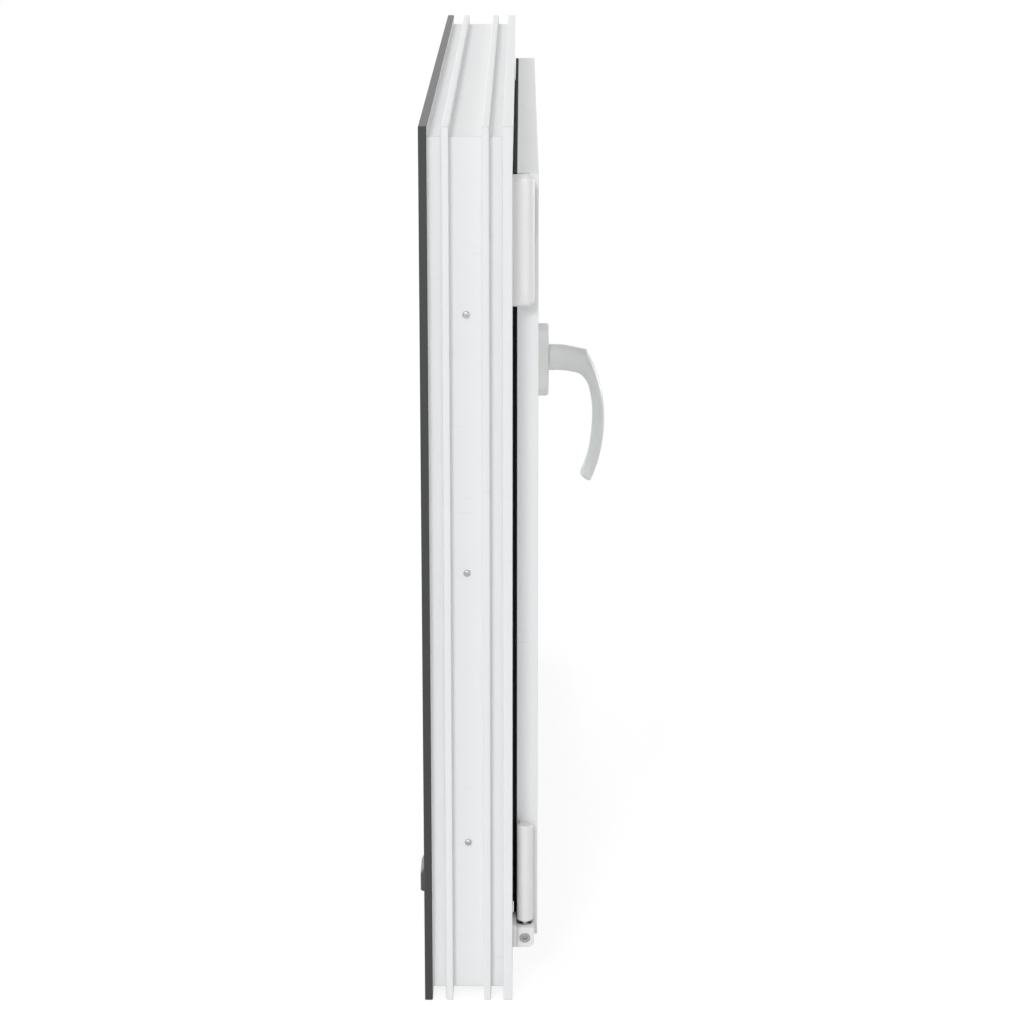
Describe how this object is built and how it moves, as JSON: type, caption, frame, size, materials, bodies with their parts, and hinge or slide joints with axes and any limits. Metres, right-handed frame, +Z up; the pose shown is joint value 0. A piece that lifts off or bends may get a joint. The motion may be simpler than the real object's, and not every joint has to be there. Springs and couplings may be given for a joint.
{
  "type": "casement window",
  "caption": "White plastic tilt-and-turn casement window with dark outdoor cladding, double glazing, two hinges, a lever handle and concealed locking gear.",
  "frame": {"origin": "middle of the frame's bottom edge, at half the frame's depth", "axes": "+X along the width from the hinges to the handle, +Y outdoors, +Z up"},
  "size_m": [0.9, 0.1737, 0.7],
  "materials": {
    "white_pvc": "satin white PVC",
    "anthracite_cladding": "powder-coated matt anthracite",
    "galvanised_steel": "zinc-coated",
    "black_gasket": "matt black",
    "clear_glass": "clear float glass",
    "spacer_aluminium": "mill",
    "block_plastic": "moulded",
    "drain_plastic": "moulded",
    "hinge_white": "satin white",
    "handle_grey": "satin pale grey",
    "zinc_casting": "die-cast",
    "plated_steel": "bright zinc"
  },
  "bodies": {
    "frame": {"frame_jamb_left": "white_pvc", "frame_jamb_right": "white_pvc", "frame_head": "white_pvc", "frame_sill": "white_pvc", "frame_cladding_left": "anthracite_cladding", "frame_cladding_right": "anthracite_cladding", "frame_cladding_head": "anthracite_cladding", "frame_cladding_sill": "anthracite_cladding", "frame_reinforcements": "galvanised_steel", "reinforcement_screws": "plated_steel", "frame_gasket": "black_gasket", "drain_caps": "drain_plastic", "lock_keeps": "plated_steel", "tilt_keep": "plated_steel", "frame_hardware_screws": "plated_steel", "pivot_rest": "hinge_white", "pivot_adjusting_screw": "plated_steel", "stay_bearing": "plated_steel", "stay_bearing_pin": "plated_steel", "stay_bearing_cover": "hinge_white"},
    "pivot": {"pivot_cup": "zinc_casting"},
    "sash": {"sash_stile_left": "white_pvc", "sash_stile_right": "white_pvc", "sash_rail_top": "white_pvc", "sash_rail_bottom": "white_pvc", "sash_cladding_left": "anthracite_cladding", "sash_cladding_right": "anthracite_cladding", "sash_cladding_head": "anthracite_cladding", "sash_cladding_sill": "anthracite_cladding", "sash_reinforcements": "galvanised_steel", "sash_gasket": "black_gasket", "glass_outer": "clear_glass", "glass_inner": "clear_glass", "glazing_spacer": "spacer_aluminium", "glazing_seal": "black_gasket", "glazing_blocks": "block_plastic", "glazing_gaskets": "black_gasket", "glazing_bead_left": "white_pvc", "glazing_bead_right": "white_pvc", "glazing_bead_head": "white_pvc", "glazing_bead_sill": "white_pvc", "gearbox_case": "zinc_casting", "faceplate_right": "plated_steel", "faceplate_top": "plated_steel", "faceplate_bottom": "plated_steel", "corner_drives": "plated_steel", "sash_hardware_screws": "plated_steel", "corner_band": "plated_steel", "corner_band_cover": "hinge_white", "hinge_pin": "plated_steel", "rosette_base": "zinc_casting", "rosette_cover": "handle_grey", "handle_screws": "plated_steel"},
    "stay": {"stay_arm": "plated_steel"},
    "handle": {"handle_grip": "handle_grey", "spindle": "plated_steel", "pinion": "plated_steel"},
    "right_rod": {"drive_rod_right": "plated_steel"},
    "top_rod": {"drive_rod_top": "plated_steel"},
    "bottom_rod": {"drive_rod_bottom": "plated_steel"}
  },
  "joints": [
    {"name": "sash_turn", "type": "hinge", "parent": "frame", "child": "pivot", "pos_m": [-0.4195, -0.045, 0.046], "axis": [0, 0, -1], "range_deg": [0, 90]},
    {"name": "sash_tilt", "type": "hinge", "parent": "pivot", "child": "sash", "pos_m": [-0.4195, -0.045, 0.046], "axis": [1, 0, 0], "range_deg": [0, 8]},
    {"name": "stay_swing", "type": "hinge", "parent": "pivot", "child": "stay", "pos_m": [-0.4195, -0.045, 0.6275], "axis": [0, 0, -1], "range_deg": [0, 20.5]},
    {"name": "handle_turn", "type": "hinge", "parent": "sash", "child": "handle", "pos_m": [0.3745, -0.0255, 0.35], "axis": [0, 1, 0], "range_deg": [0, 180]},
    {"name": "right_rod_slide", "type": "slide", "parent": "sash", "child": "right_rod", "axis": [0, 0, -1], "range_m": [0, 0.0315]},
    {"name": "top_rod_slide", "type": "slide", "parent": "sash", "child": "top_rod", "axis": [1, 0, 0], "range_m": [0, 0.0315]},
    {"name": "bottom_rod_slide", "type": "slide", "parent": "sash", "child": "bottom_rod", "axis": [-1, 0, 0], "range_m": [0, 0.0315]}
  ],
  "couplings": [
    {"joint": "stay_swing", "follows": "sash_tilt", "ratio": 2.4876},
    {"joint": "right_rod_slide", "follows": "handle_turn", "m_per_rad": 0.01},
    {"joint": "top_rod_slide", "follows": "handle_turn", "m_per_rad": 0.01},
    {"joint": "bottom_rod_slide", "follows": "handle_turn", "m_per_rad": 0.01}
  ]
}
